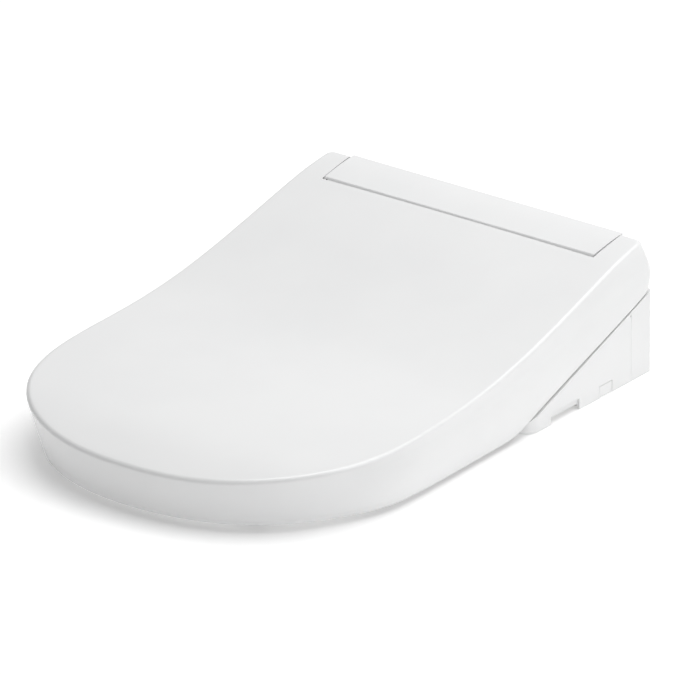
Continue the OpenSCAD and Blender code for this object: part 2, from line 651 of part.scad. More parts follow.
module pinion_outline() {
  rb = pitch_r * cos(20);
  tip = pitch_r + tooth_tip;
  root = pitch_r - tooth_root;
  half = 90 / pinion_teeth - backlash / 2 / pitch_r * 180 / PI + involute(rb, pitch_r);
  radii = [root, rb, rb + (tip - rb) / 3, rb + (tip - rb) * 2 / 3, tip];
  // The first tooth stands half a pitch from straight down, so that a gap meets the rack's tooth
  polygon([for (k = [0:pinion_teeth - 1]) let (c = -90 + (k + 0.5) * 360 / pinion_teeth) each concat(
    [for (i = [0:4]) let (a = c - half + involute(rb, radii[i])) radii[i] * [cos(a), sin(a)]],
    [for (i = [0:4]) let (a = c + half - involute(rb, radii[4 - i])) radii[4 - i] * [cos(a), sin(a)]])]);
}
module nozzle_pinion() {
  color("white") on_nozzle() translate([0, pinion_y, pitch_h + pitch_r]) difference() {
    union() {
      along_x(-3, 3) pinion_outline();
      rod_x(3, 6, 4, 0, 0);
    }
    rod_x(-4, 7, 1.5 + fit, 0, 0);
  }
}
module nozzle_motor() {
  color("dimgray") on_nozzle() translate([0, pinion_y, pitch_h + pitch_r]) {
    rod_x(8, 24, 10, 0, 0);
    rod_x(-4, 8, 1.5, 0, 0);
  }
}
module nozzle_cradle() {
  color("gainsboro") on_nozzle() difference() {
    block([-9, 9, -8], [9, 134, 4]);
    block([-wand_r - 0.35, 8, -0.01], [wand_r + 0.35, 135, 5]);
    rod_y(8, 135, wand_r + 0.35, 0, 0);
  }
  color("gainsboro") block([-8, -140, floor_top], [8, -128, 22]);
  color("gainsboro") block([-8, -84, floor_top], [8, -72, 32]);
}

// ================= deodoriser and electronics =================
fan_at = [-108, -120, 12];
module fan_housing() {
  color("dimgray") translate(fan_at) difference() {
    union() {
      cylinder(h = 20, r = 25);
      translate([-36, -14, 0]) cube([20, 28, 20]);
    }
    translate([0, 0, 2]) cylinder(h = 16, r = 22);
    translate([0, 0, 10]) cylinder(h = 12, r = 13);
    translate([-38, -11, 3]) cube([26, 22, 14]);
  }
}
module fan_motor() {
  color("dimgray") translate(fan_at + [0, 0, 2]) {
    cylinder(h = 4, r = 9);
    cylinder(h = 12, r = 1.5);
  }
}
module fan_impeller() {
  color("silver") translate(fan_at + [0, 0, 7]) difference() {
    union() {
      cylinder(h = 1.4, r = 20);
      cylinder(h = 8, r = 4);
      for (k = [0:10]) rotate(k * 360 / 11) translate([12, 0, 0.7]) rotate(35) cube([8, 1.2, 8]);
    }
    translate([0, 0, -1]) cylinder(h = 12, r = 1.5 + fit);
  }
}
module filter_cartridge() {
  color("dimgray") difference() {
    block([-72, -146, 12], [-28, -102, 34]);
    for (x = [-64:8:-36]) block([x - 2.4, -147, 15], [x + 2.4, -101, 31]);
  }
}
module control_board() {
  color("green") block([-60, -112, 70], [54, -66, 71.6]);
  color("black") for (x = [-50:24:46]) block([x, -94, 71.6], [x + 14, -82, 74.6]);
  color("green") for (x = [-56, 48]) block([x - 2, -70, 11.5], [x + 2, -66, 70]);
}
module power_board() {
  color("green") block([34, -150, 14], [136, -104, 15.6]);
  color("khaki") block([44, -144, 15.6], [74, -116, 36]);
  color("black") for (x = [86, 102, 118]) translate([x, -128, 15.6]) cylinder(h = 18, r = 6);
  color("green") for (x = [40, 130]) translate([x, -108, 11.5]) cylinder(h = 2.5, r = 2.5);
}
module cord_gland() {
  color("dimgray") difference() {
    union() {
      rod_y(-16, -0.3, 8, gland_at[0], gland_at[1]);
      rod_y(-7, -skin, 11, gland_at[0], gland_at[1]);
    }
    rod_y(-12, 1, 3.8, gland_at[0], gland_at[1]);
  }
}

module placed() {
  translate([0, bolt_setback, 0]) children();
}
placed() base_plate();
placed() base_chassis();
placed() side_cover_right();
placed() side_cover_left();
placed() rear_cover();
placed() top_cover();
placed() top_panel();
placed() front_fascia();
placed() sensor_window();
placed() seat_damper();
placed() lid_damper();
placed() water_inlet();
placed() inlet_strainer();
placed() solenoid_valve();
placed() flow_valve();
placed() water_heater();
placed() water_pump();
placed() water_hoses();
placed() nozzle_cradle();
placed() nozzle_motor();
placed() fan_housing();
placed() fan_motor();
placed() filter_cartridge();
placed() control_board();
placed() power_board();
placed() cord_gland();
placed() case_screws();
placed() nozzle_wand();
placed() nozzle_rack();
placed() nozzle_tip();
placed() nozzle_shutter();
placed() nozzle_pinion();
placed() fan_impeller();
placed() release_button();
placed() aux_button_front();
placed() aux_button_rear();
placed() seat_ring_top();
placed() seat_ring_bottom();
placed() seat_heater();
placed() seat_arms();
placed() seat_bumpers();
placed() seat_hinge_shaft();
placed() lid_shell();
placed() lid_liner();
placed() lid_bumpers();
placed() lid_hinge_lugs();
placed() lid_hinge_shaft();
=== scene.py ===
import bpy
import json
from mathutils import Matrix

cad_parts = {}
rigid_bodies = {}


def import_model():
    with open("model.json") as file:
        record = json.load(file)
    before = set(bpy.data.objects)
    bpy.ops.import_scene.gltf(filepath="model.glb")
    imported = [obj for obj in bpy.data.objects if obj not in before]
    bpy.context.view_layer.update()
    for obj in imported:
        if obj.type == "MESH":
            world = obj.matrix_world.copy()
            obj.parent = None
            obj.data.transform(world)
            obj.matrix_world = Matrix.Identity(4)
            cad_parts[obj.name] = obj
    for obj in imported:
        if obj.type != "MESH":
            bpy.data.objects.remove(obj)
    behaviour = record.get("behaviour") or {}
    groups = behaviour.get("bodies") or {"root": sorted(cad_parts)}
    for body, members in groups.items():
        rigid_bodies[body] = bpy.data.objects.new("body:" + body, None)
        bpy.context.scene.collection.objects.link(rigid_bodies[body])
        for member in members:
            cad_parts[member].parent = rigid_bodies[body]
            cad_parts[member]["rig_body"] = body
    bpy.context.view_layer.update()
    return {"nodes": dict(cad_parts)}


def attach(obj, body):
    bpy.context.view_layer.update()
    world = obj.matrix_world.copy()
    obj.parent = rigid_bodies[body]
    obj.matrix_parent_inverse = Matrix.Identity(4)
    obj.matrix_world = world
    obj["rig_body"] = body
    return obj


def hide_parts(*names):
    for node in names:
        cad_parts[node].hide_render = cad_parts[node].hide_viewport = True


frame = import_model()

import json
import math
from collections import namedtuple

import bpy
import bmesh
import numpy as np
from mathutils import Vector

scene = bpy.context.scene
MM = 0.001
SETBACK = 65.0  # the rear face lies this far behind the bolts, which carry the origin


def place(points):
    """Points drawn in millimetres from the rear face, as metres from the bolts."""
    p = np.asarray(points, float).reshape(-1, 3).copy()
    p[:, 1] += SETBACK
    return p * MM


# ---------------------------------------------------------------- shapes shared with the CAD
# Points (y, height) that the middle of the lid's top passes through
SLOPE = np.array([(-545, 51), (-505, 57), (-468, 60.1), (-420, 62.3), (-360, 64.7), (-296, 67.3),
                  (-255, 70.7), (-215, 76.3), (-168, 85.7), (-120, 97.6), (-73, 110), (-41, 117.9),
                  (5, 125.6)])
# Half widths: the lid at its widest and at its rear, and the body
LID_HW, REAR_HW, BODY_HW = 191.5, 182.5, 181.0
# The rounded front: where it starts, its length, and the power of its superellipse
WIDEST_Y, NOSE_LEN, NOSE_N = -359.0, 180.5, 2.3
# The hinge axis
AXIS_Y, AXIS_Z = -20.0, 100.0
# Radius of the lid's rolled edge, and thickness of its wall
EDGE_R, WALL = 3.8, 3.0
# The lid's rear edge and the radius of its corners
REAR_Y, CORNER_R = -1.5, 6.0
# The notch for the deck panel: half width, and radius about the hinge axis
NOTCH_X, NOTCH_R = 149.8, 32.3
# The rear of the lid's top is cut off at this height
TOP_LIMIT = 124.06
# How far the upper edge stands inside the widest line, and how much more it does at the rear
UPPER_IN, UPPER_IN_REAR = 1.3, 8.0
# How far the middle of the top stands above its sides, and the same by the notch
CROWN, CROWN_AT_NOTCH = 1.2, 0.9
# Depth of the widest line under the top at the front, and how much more it is at the rear
DROP, DROP_REAR = 12.0, 14.0
# The lower edge: its height, its rise to the front, and its diagonal's height at the rear face and slope
FOOT, FRONT_RISE, CLIMB_TOP, CLIMB = 5.0, 2.4, 79.5, 0.362
# The rear end of the lower edge is an arc about the hinge axis, from this place on
TURN_R, TURN_Y = 26.1, -11.0
# How far the lower edge stands inside the widest line: everywhere, and how much more it does at the rear,
# at the widest place and in front
LOWER_IN, LOWER_IN_REAR, LOWER_IN_WIDEST, LOWER_IN_FRONT = 0.5, 2.0, 9.0, 8.0


def lid_top(y):
    """Height of the lid's top in the middle: a cubic curve through the points of SLOPE."""
    y = np.asarray(y, float)
    yy, zz = SLOPE[:, 0], SLOPE[:, 1]
    slope = np.empty(len(yy))
    slope[1:-1] = (zz[2:] - zz[:-2]) / (yy[2:] - yy[:-2])
    slope[0] = (zz[1] - zz[0]) / (yy[1] - yy[0])
    slope[-1] = (zz[-1] - zz[-2]) / (yy[-1] - yy[-2])
    i = np.clip(np.searchsorted(yy, y, side="left") - 1, 0, len(yy) - 2)
    h = yy[i + 1] - yy[i]
    s = (y - yy[i]) / h
    return ((2 * s**3 - 3 * s**2 + 1) * zz[i] + (s**3 - 2 * s**2 + s) * h * slope[i]
            + (3 * s**2 - 2 * s**3) * zz[i + 1] + (s**3 - s**2) * h * slope[i + 1])


def smooth(a, b, y):
    """An even step from 0 at a to 1 at b."""
    s = np.clip((np.asarray(y, float) - a) / (b - a), 0, 1)
    return s * s * (3 - 2 * s)


def along(y):
    """0 from the nose to the widest place, then evenly up to 1 at the rear face."""
    return np.maximum(0, (np.asarray(y, float) - WIDEST_Y) / -WIDEST_Y)


def side_x(y):
    """Half width of the lid behind its widest place."""
    t = np.minimum(1, along(y))
    return REAR_HW + (LID_HW - REAR_HW) * ((1 - t) ** 2 + 2 * t * (1 - t) ** 6)


def side_upper(y):
    """How far the upper edge stands inside the widest line along the sides."""
    return UPPER_IN + UPPER_IN_REAR * along(y) ** 3


def crown(x, y):
    """How far the top stands above its sides: a shallow arch across, fading out at the nose."""
    return CROWN * (1 - (x / side_x(y)) ** 2) * smooth(-530, -460, y)


def top_z(x, y):
    return lid_top(y) + crown(x, y)


def lid_bottom(y):
    """Height of the lower edge: nearly level, a rounded bend into the diagonal, and an arc at the rear."""
    y = np.asarray(y, float)
    bend = 3.0
    d = CLIMB_TOP + CLIMB * y - FOOT
    level = FOOT + FRONT_RISE * (1 - smooth(-520, -300, y))
    straight = level + (d + np.sqrt(d * d + bend * bend)) / 2
    arc = AXIS_Z - np.sqrt(np.maximum(0, TURN_R**2 - (y - AXIS_Y) ** 2))
    return np.where(y < TURN_Y, straight, arc)


def nose_pt(a):
    """Point and outward direction on the rounded front; a is 0 at the widest place and 90 at the tip."""
    c = max(0.0, math.cos(math.radians(a))) ** (2 / NOSE_N)
    s = max(0.0, math.sin(math.radians(a))) ** (2 / NOSE_N)
    nx, ny = c ** (NOSE_N - 1) / LID_HW, -(s ** (NOSE_N - 1)) / NOSE_LEN
    n = math.hypot(nx, ny)
    return LID_HW * c, WIDEST_Y - NOSE_LEN * s, nx / n, ny / n


# ---------------------------------------------------------------- mesh helpers
MERGE = 2e-6  # points nearer than this are one point, in metres


def mesh_piece(name, verts, faces, body, slot, sharp=40.0):
    """A smooth-shaded mesh that rides on a body, with its edges sharp past the angle sharp."""
    me = bpy.data.meshes.new(name)
    me.from_pydata([tuple(v) for v in verts], [], [tuple(f) for f in faces])
    me.validate()
    bm = bmesh.new()
    bm.from_mesh(me)
    bmesh.ops.remove_doubles(bm, verts=bm.verts, dist=MERGE)
    bmesh.ops.recalc_face_normals(bm, faces=bm.faces)
    bm.to_mesh(me)
    bm.free()
    ob = bpy.data.objects.new(name, me)
    scene.collection.objects.link(ob)
    me.materials.append(M[slot])
    me.shade_smooth()
    me.set_sharp_from_angle(angle=math.radians(sharp))
    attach(ob, body)
    return ob


def edge_bevel(ob, width, segments=3, angle=40.0):
    """Rounds the edges sharper than angle, by a width in millimetres."""
    m = ob.modifiers.new("edge", "BEVEL")
    m.width = width * MM
    m.segments = segments
    m.limit_method = "ANGLE"
    m.angle_limit = math.radians(angle)
    m.harden_normals = True
    m.use_clamp_overlap = True


def rounded(node, width, slot, segments=3, angle=40.0, adjust=None):
    """The CAD node's shape with its moulded edges rounded."""
    src = frame["nodes"][node]
    bm = bmesh.new()
    bm.from_mesh(src.data)
    bmesh.ops.remove_doubles(bm, verts=bm.verts, dist=MERGE)
    bmesh.ops.dissolve_limit(bm, angle_limit=math.radians(0.8), verts=bm.verts, edges=bm.edges)
    verts = np.array([v.co[:] for v in bm.verts])
    faces = [[v.index for v in f.verts] for f in bm.faces]
    bm.free()
    if adjust is not None:
        verts = adjust(verts)
    ob = mesh_piece(node.replace("_", "-"), verts, faces, src["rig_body"], slot, angle)
    edge_bevel(ob, width, segments, angle)
    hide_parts(node)


def turned(name, profile, centre, body, slot, axis="Z", sides=64):
    """A lathe-turned piece about X or Z. profile = (radius, distance along the axis), in millimetres."""
    verts, faces = [], []
    m = len(profile)
    for k in range(sides):
        a = 2 * math.pi * k / sides
        for r, h in profile:
            u, v = r * math.cos(a), r * math.sin(a)
            verts.append((h, u, v) if axis == "X" else (u, v, h))
    for k in range(sides):
        a, b = k * m, ((k + 1) % sides) * m
        for i in range(m - 1):
            faces.append((a + i, b + i, b + i + 1, a + i + 1))
    v = np.array(verts) + np.array(centre, float)
    return mesh_piece(name, place(v), faces, body, slot)


# ---------------------------------------------------------------- materials
def nodes_of(name, colour, rough, metallic=0.0, coat=0.0):
    """A new material, its node tree and its shader."""
    mat = bpy.data.materials.new(name)
    mat.use_nodes = True
    nt = mat.node_tree
    b = nt.nodes["Principled BSDF"]
    b.inputs["Base Color"].default_value = (*colour, 1)
    b.inputs["Roughness"].default_value = rough
    b.inputs["Metallic"].default_value = metallic
    b.inputs["IOR"].default_value = 1.5
    b.inputs["Coat Weight"].default_value = coat
    b.inputs["Coat Roughness"].default_value = 0.05
    return mat, nt, b


def add(nt, kind, **inputs):
    """A new shader node with the values of its inputs."""
    n = nt.nodes.new(kind)
    for k, v in inputs.items():
        n.inputs[k.replace("_", " ")].default_value = v
    return n


def coords(nt, scale=(1, 1, 1)):
    """The object's own coordinates, stretched by scale."""
    tc = nt.nodes.new("ShaderNodeTexCoord")
    mp = nt.nodes.new("ShaderNodeMapping")
    mp.inputs["Scale"].default_value = scale
    nt.links.new(tc.outputs["Object"], mp.inputs["Vector"])
    return mp.outputs["Vector"]


def noise(nt, vec, scale, detail=2.0, rough=0.5):
    """A noise texture's grey value."""
    n = add(nt, "ShaderNodeTexNoise", Scale=scale, Detail=detail, Roughness=rough)
    nt.links.new(vec, n.inputs["Vector"])
    return n.outputs["Fac"]


def vary_colour(nt, b, fac, low, high):
    """Lets the colour drift between low and high."""
    ramp = nt.nodes.new("ShaderNodeValToRGB")
    ramp.color_ramp.elements[0].position = 0.35
    ramp.color_ramp.elements[1].position = 0.65
    ramp.color_ramp.elements[0].color = (*low, 1)
    ramp.color_ramp.elements[1].color = (*high, 1)
    nt.links.new(fac, ramp.inputs["Fac"])
    nt.links.new(ramp.outputs["Color"], b.inputs["Base Color"])


def vary_rough(nt, b, fac, low, high):
    """Lets the roughness drift between low and high."""
    m = add(nt, "ShaderNodeMapRange")
    m.inputs["To Min"].default_value = low
    m.inputs["To Max"].default_value = high
    nt.links.new(fac, m.inputs["Value"])
    nt.links.new(m.outputs["Result"], b.inputs["Roughness"])


def bump(nt, b, height, strength, distance, normal=None):
    """Fine relief on the surface, on top of the relief in normal if there is one."""
    n = add(nt, "ShaderNodeBump", Strength=strength, Distance=distance)
    nt.links.new(height, n.inputs["Height"])
    if normal is not None:
        nt.links.new(normal, n.inputs["Normal"])
    nt.links.new(n.outputs["Normal"], b.inputs["Normal"])
    return n.outputs["Normal"]


def moulded(name, low, high, rough, grain=0.0, wave=0.05):
    """Moulded plastic: faint sink waves, a tone that drifts slightly, and an optional fine spark texture."""
    mat, nt, b = nodes_of(name, high, rough[0])
    v = coords(nt)
    vary_colour(nt, b, noise(nt, v, 9.0, 3.0), low, high)
    vary_rough(nt, b, noise(nt, v, 60.0, 4.0, 0.6), *rough)
    n = bump(nt, b, noise(nt, v, 42.0, 1.0), wave, 0.0006)
    if grain:
        bump(nt, b, noise(nt, v, 1400.0, 2.0, 0.6), grain, 0.0001, n)
    return mat


M = {}
M["gloss_white"] = moulded("gloss-white", (0.815, 0.818, 0.820),
                           (0.835, 0.838, 0.838), (0.20, 0.27), wave=0.03)
M["inner_white"] = moulded("inner-white", (0.80, 0.80, 0.795),
                           (0.825, 0.825, 0.82), (0.26, 0.34), wave=0.04)
M["light_plastic"] = moulded("light-plastic", (0.62, 0.62, 0.61),
                             (0.68, 0.68, 0.67), (0.42, 0.55), grain=0.35)
M["dark_plastic"] = moulded("dark-plastic", (0.022, 0.022, 0.024),
                            (0.035, 0.035, 0.037), (0.42, 0.56), grain=0.4)
M["blue_plastic"] = moulded("blue-plastic", (0.18, 0.31, 0.46),
                            (0.22, 0.36, 0.52), (0.34, 0.44), grain=0.2)
M["smoked"] = moulded("smoked-window", (0.010, 0.010, 0.012),
                      (0.016, 0.016, 0.018), (0.06, 0.10), wave=0.02)


def steel_like(name, colour, rough, stretch):
    """Brushed or plated metal, its fine lines drawn out along the axis that stretch makes small."""
    mat, nt, b = nodes_of(name, colour, rough[0], metallic=1.0)
    v = coords(nt, stretch)
    f = noise(nt, v, 500.0, 3.0, 0.7)
    vary_rough(nt, b, f, *rough)
    bump(nt, b, f, 0.12, 0.00005)
    vary_colour(nt, b, noise(nt, coords(nt), 25.0, 3.0), tuple(c * 0.92 for c in colour), colour)
    return mat


M["steel"] = steel_like("brushed-steel", (0.66, 0.66, 0.67), (0.22, 0.38), (0.04, 1, 1))
M["plated_brass"] = steel_like("plated-brass", (0.76, 0.72, 0.62), (0.16, 0.26), (0.3, 1, 1))
M["heater_foil"] = steel_like("heater-foil", (0.72, 0.55, 0.36), (0.30, 0.45), (1, 1, 1))


def ceramic():
    """Fired ceramic of the heater: mottled and matt."""
    mat, nt, b = nodes_of("ceramic", (0.62, 0.55, 0.43), 0.7)
    v = coords(nt)
    vary_colour(nt, b, noise(nt, v, 160.0, 6.0, 0.7), (0.52, 0.45, 0.34), (0.66, 0.60, 0.49))
    vary_rough(nt, b, noise(nt, v, 80.0), 0.6, 0.8)
    bump(nt, b, noise(nt, v, 900.0, 4.0, 0.7), 0.5, 0.0001)
    return mat


def rubber(name, low, high):
    """Soft rubber with a powdery sheen."""
    mat, nt, b = nodes_of(name, high, 0.6)
    v = coords(nt)
    vary_colour(nt, b, noise(nt, v, 70.0, 4.0), low, high)
    vary_rough(nt, b, noise(nt, v, 200.0, 3.0), 0.5, 0.68)
    bump(nt, b, noise(nt, v, 1800.0, 3.0, 0.65), 0.35, 0.00008)
    b.inputs["Sheen Weight"].default_value = 0.15
    return mat


def circuit_board():
    """Lacquered green board with pale tracks."""
    mat, nt, b = nodes_of("circuit-board", (0.02, 0.12, 0.06), 0.35, coat=0.4)
    v = coords(nt)
    br = add(nt, "ShaderNodeTexBrick", Scale=60.0)
    br.inputs["Color1"].default_value = (0.012, 0.10, 0.045, 1)
    br.inputs["Color2"].default_value = (0.016, 0.13, 0.06, 1)
    br.inputs["Mortar"].default_value = (0.30, 0.34, 0.20, 1)
    br.inputs["Mortar Size"].default_value = 0.012
    nt.links.new(v, br.inputs["Vector"])
    nt.links.new(br.outputs["Color"], b.inputs["Base Color"])
    vary_rough(nt, b, noise(nt, v, 120.0), 0.28, 0.45)
    bump(nt, b, br.outputs["Fac"], 0.2, 0.0001)
    return mat


M["ceramic"] = ceramic()
M["hose"] = rubber("hose", (0.50, 0.56, 0.58), (0.58, 0.64, 0.66))
M["grey_rubber"] = rubber("grey-rubber", (0.30, 0.30, 0.30), (0.36, 0.36, 0.36))
M["circuit_board"] = circuit_board()

SLOTS = {
    "gloss_white": ["side_cover_right", "side_cover_left", "rear_cover", "top_panel", "lid_shell",
                    "release_button"],
    "inner_white": ["top_cover", "front_fascia", "seat_ring_top", "seat_ring_bottom", "seat_arms",
                    "lid_liner", "lid_hinge_lugs", "nozzle_shutter"],
    "light_plastic": ["base_plate", "base_chassis", "nozzle_cradle", "nozzle_rack", "nozzle_pinion",
                      "nozzle_tip", "aux_button_front", "aux_button_rear", "flow_valve", "solenoid_valve"],
    "dark_plastic": ["seat_damper", "lid_damper", "nozzle_motor", "fan_housing", "fan_motor",
                     "filter_cartridge", "cord_gland", "water_pump", "sensor_window"],
    "steel": ["seat_hinge_shaft", "lid_hinge_shaft", "case_screws", "nozzle_wand"],
    "plated_brass": ["water_inlet"],
    "blue_plastic": ["inlet_strainer", "fan_impeller"],
    "ceramic": ["water_heater"],
    "hose": ["water_hoses"],
    "circuit_board": ["control_board", "power_board"],
    "heater_foil": ["seat_heater"],
    "grey_rubber": ["seat_bumpers", "lid_bumpers"],
}
for slot_name, members in SLOTS.items():
    for n in members:
        me = frame["nodes"][n].data
        me.materials.clear()
        me.materials.append(M["smoked"] if n == "sensor_window" else M[slot_name])


# ---------------------------------------------------------------- lid
# A place on the lid's widest line, its shares of an inset along x and y, and how much of it belongs to a side
Rim = namedtuple("Rim", "x y nx ny side")
# Rows of points: round the nose, and down the skirt's rolled edge, its leaning part and its lower part
N_NOSE, N_ARC, N_LEAN, N_LOW = 26, 7, 7, 7


def half_top(y):
    """Half the width of the lid's top inside its rolled edge."""
    return side_x(y) - side_upper(y) - EDGE_R


def frontness(p):
    """0 on the sides and the rear, and 1 once the rim faces well forward."""
    return float(smooth(0, 0.5, -p.ny))


def upper_in(p):
    """How far the upper edge stands inside the rim at p, along x and along y."""
    return (1 - frontness(p)) * np.array([float(side_upper(p.y)), UPPER_IN])


def lower_in(p):
    """The same for the lower edge."""
    t = min(1, float(along(p.y)))
    sideways = 1 if p.ny == 1 else abs(p.nx)
    low = LOWER_IN + LOWER_IN_REAR * t**16 + LOWER_IN_WIDEST * (1 - t) * sideways
    low += LOWER_IN_FRONT * frontness(p)
    return np.array([low, LOWER_IN if p.ny > 0 else low])


def moved_in(p, s):
    """The rim's place p moved inwards by s."""
    return p.x - p.nx * s[0], p.y - p.ny * s[1]


def notch_front():
    """Where the notch's arc about the hinge axis comes through the lid's top."""
    lo, hi = -60.0, -30.0
    for _ in range(60):
        mid = (lo + hi) / 2
        if math.hypot(mid - AXIS_Y, float(lid_top(mid)) + CROWN_AT_NOTCH - AXIS_Z) > NOTCH_R:
            lo = mid
        else:
            hi = mid
    return lo


def columns(y):
    """The places across the lid's top: even over the notch's width, then out to the corner."""
    w = float(half_top(y))
    right = [NOTCH_X + f * (w - CORNER_R - NOTCH_X) for f in (0.25, 0.5, 0.75, 1.0)]
    right += [w - CORNER_R + c for c in (1.5, 3.0, 4.5, 6.0)]
    return [-x for x in reversed(right)] + list(np.linspace(-NOTCH_X, NOTCH_X, 31)) + right


N_COL = len(columns(WIDEST_Y))
C_LEFT, C_RIGHT = 8, N_COL - 9  # the columns along the sides of the notch


def side_rows(rows, r_notch, pos, rim):
    """The grid's places from the rear edge to the widest place, with rounded rear corners."""
    y_rear = rows[0]
    for r, y in enumerate(rows):
        w = float(half_top(y))
        for c, x in enumerate(columns(y)):
            if r < r_notch and C_LEFT < c < C_RIGHT:
                continue
            qx, qy = x, y
            b = (y - (y_rear - CORNER_R)) / CORNER_R
            a = (abs(x) - (w - CORNER_R)) / CORNER_R
            sx = math.copysign(1, x)
            on_side = c in (0, N_COL - 1)
            if a > 0 and b > 0:
                a2, b2 = a * math.sqrt(1 - b * b / 2), b * math.sqrt(1 - a * a / 2)
                qx, qy = sx * (w - CORNER_R + CORNER_R * a2), y_rear - CORNER_R + CORNER_R * b2
                if on_side or r == 0:
                    px = float(side_x(REAR_Y)) - CORNER_R + CORNER_R * a2
                    rim[r, c] = Rim(sx * px, REAR_Y - CORNER_R + CORNER_R * b2, sx, 1.0, a2 * a2)
            elif on_side:
                rim[r, c] = Rim(sx * float(side_x(y)), y, sx, 0.0, 1.0)
            elif r == 0:
                rim[r, c] = Rim(x, REAR_Y, 0.0, 1.0, 0.0)
            pos[r, c] = (qx, qy)


def nose_rows(first, pos, rim):
    """The grid's places on the rounded front: a square drawn into a half disc, and that into the nose."""
    w = float(half_top(WIDEST_Y))
    inset = UPPER_IN + EDGE_R
    for k in range(1, N_NOSE + 1):
        v = k / N_NOSE
        r = first + k
        for c, x in enumerate(columns(WIDEST_Y)):
            u = x / w
            across, ahead = u * math.sqrt(1 - v * v / 2), v * math.sqrt(1 - u * u / 2)
            rho, phi = math.hypot(across, ahead), math.atan2(ahead, abs(across))
            a = 90.0 if phi > math.pi / 2 - 1e-9 else math.degrees(math.atan(math.tan(phi) ** (NOSE_N / 2)))
            px, py, nx, ny = nose_pt(a)
            sx = 1 if across >= 0 else -1
            pos[r, c] = (sx * rho * (px - nx * inset), WIDEST_Y + rho * (py - ny * inset - WIDEST_Y))
            if c in (0, N_COL - 1) or k == N_NOSE:
                rim[r, c] = Rim(sx * px, py, sx * nx, ny, nx * nx)


def skirt(p, vert):
    """The points down the skirt at one place of the rim, outside and inside, from rolled edge to foot."""
    upper, lows = upper_in(p), lower_in(p)
    to_widest = p.side * upper[0] + (1 - p.side) * upper[1] if p.ny >= 0 else UPPER_IN * (1 - frontness(p))
    drop = DROP + DROP_REAR * float(along(p.y)) ** 2
    steep = 0.8  # share of the drop that the skirt's upper part falls steeply
    least, thinning = 3, 0.6  # height that the lower part keeps, and how much thinner the wall is at the foot
    end = math.pi / 2 - math.atan(to_widest / (steep * (drop - EDGE_R)))
    roll_in, roll_down = EDGE_R * (1 - math.sin(end)), EDGE_R * (1 - math.cos(end))

    def widest(y):
        """Height of the widest line."""
        return max(float(lid_top(y)) - drop, float(lid_bottom(y)) + least)

    def drawn_in(x, y, z, share):
        """How far the skirt stands inside the rim: the front draws in evenly, the sides in a curve."""
        z_top, z_foot = float(top_z(x, y)) - roll_down, float(lid_bottom(y))
        even = (z_top - z) / (z_top - z_foot)
        return lows * (frontness(p) * even + (1 - frontness(p)) * share**2)

    outside, inside = [], []
    for k in range(1, N_ARC + 1):
        th = end * k / N_ARC
        x, y = moved_in(p, upper + EDGE_R * (1 - math.sin(th)))
        outside.append(vert(x, y, min(float(top_z(x, y)), TOP_LIMIT) - EDGE_R * (1 - math.cos(th))))
        x, y = moved_in(p, upper + EDGE_R - (EDGE_R - WALL) * math.sin(th))
        inside.append(vert(x, y, float(top_z(x, y)) - EDGE_R + (EDGE_R - WALL) * math.cos(th)))
    for k in range(1, N_LEAN + 1):
        f = k / N_LEAN
        s = (upper + roll_in) * (1 - f) ** 2
        for extra, side in ((0.0, outside), (WALL, inside)):
            x, y = moved_in(p, s + extra)
            z_top, z_widest = float(top_z(x, y)) - roll_down, widest(y)
            z_bend = z_top - steep * (z_top - z_widest)
            z = (1 - f) ** 2 * z_top + 2 * f * (1 - f) * z_bend + f * f * z_widest
            x, y = moved_in(p, s + extra + drawn_in(x, y, z, 0))
            side.append(vert(x, y, z))
    for k in range(1, N_LOW + 1):
        f = k / N_LOW
        for extra, foot, side in ((0.0, 1.0, outside), (WALL - thinning * f, 0.0, inside)):
            x, y = moved_in(p, lows * f**2 + extra)
            z = (1 - f) * widest(y) + f * (float(lid_bottom(y)) + foot)
            x, y = moved_in(p, extra + drawn_in(x, y, z, f))
            side.append(vert(x, y, z))
    for extra, up in ((0.3, 0.3), (1.0, 0.0)):  # the rounded foot
        x, y = moved_in(p, lows + extra)
        outside.append(vert(x, y, float(lid_bottom(y)) + up))
    return outside, inside


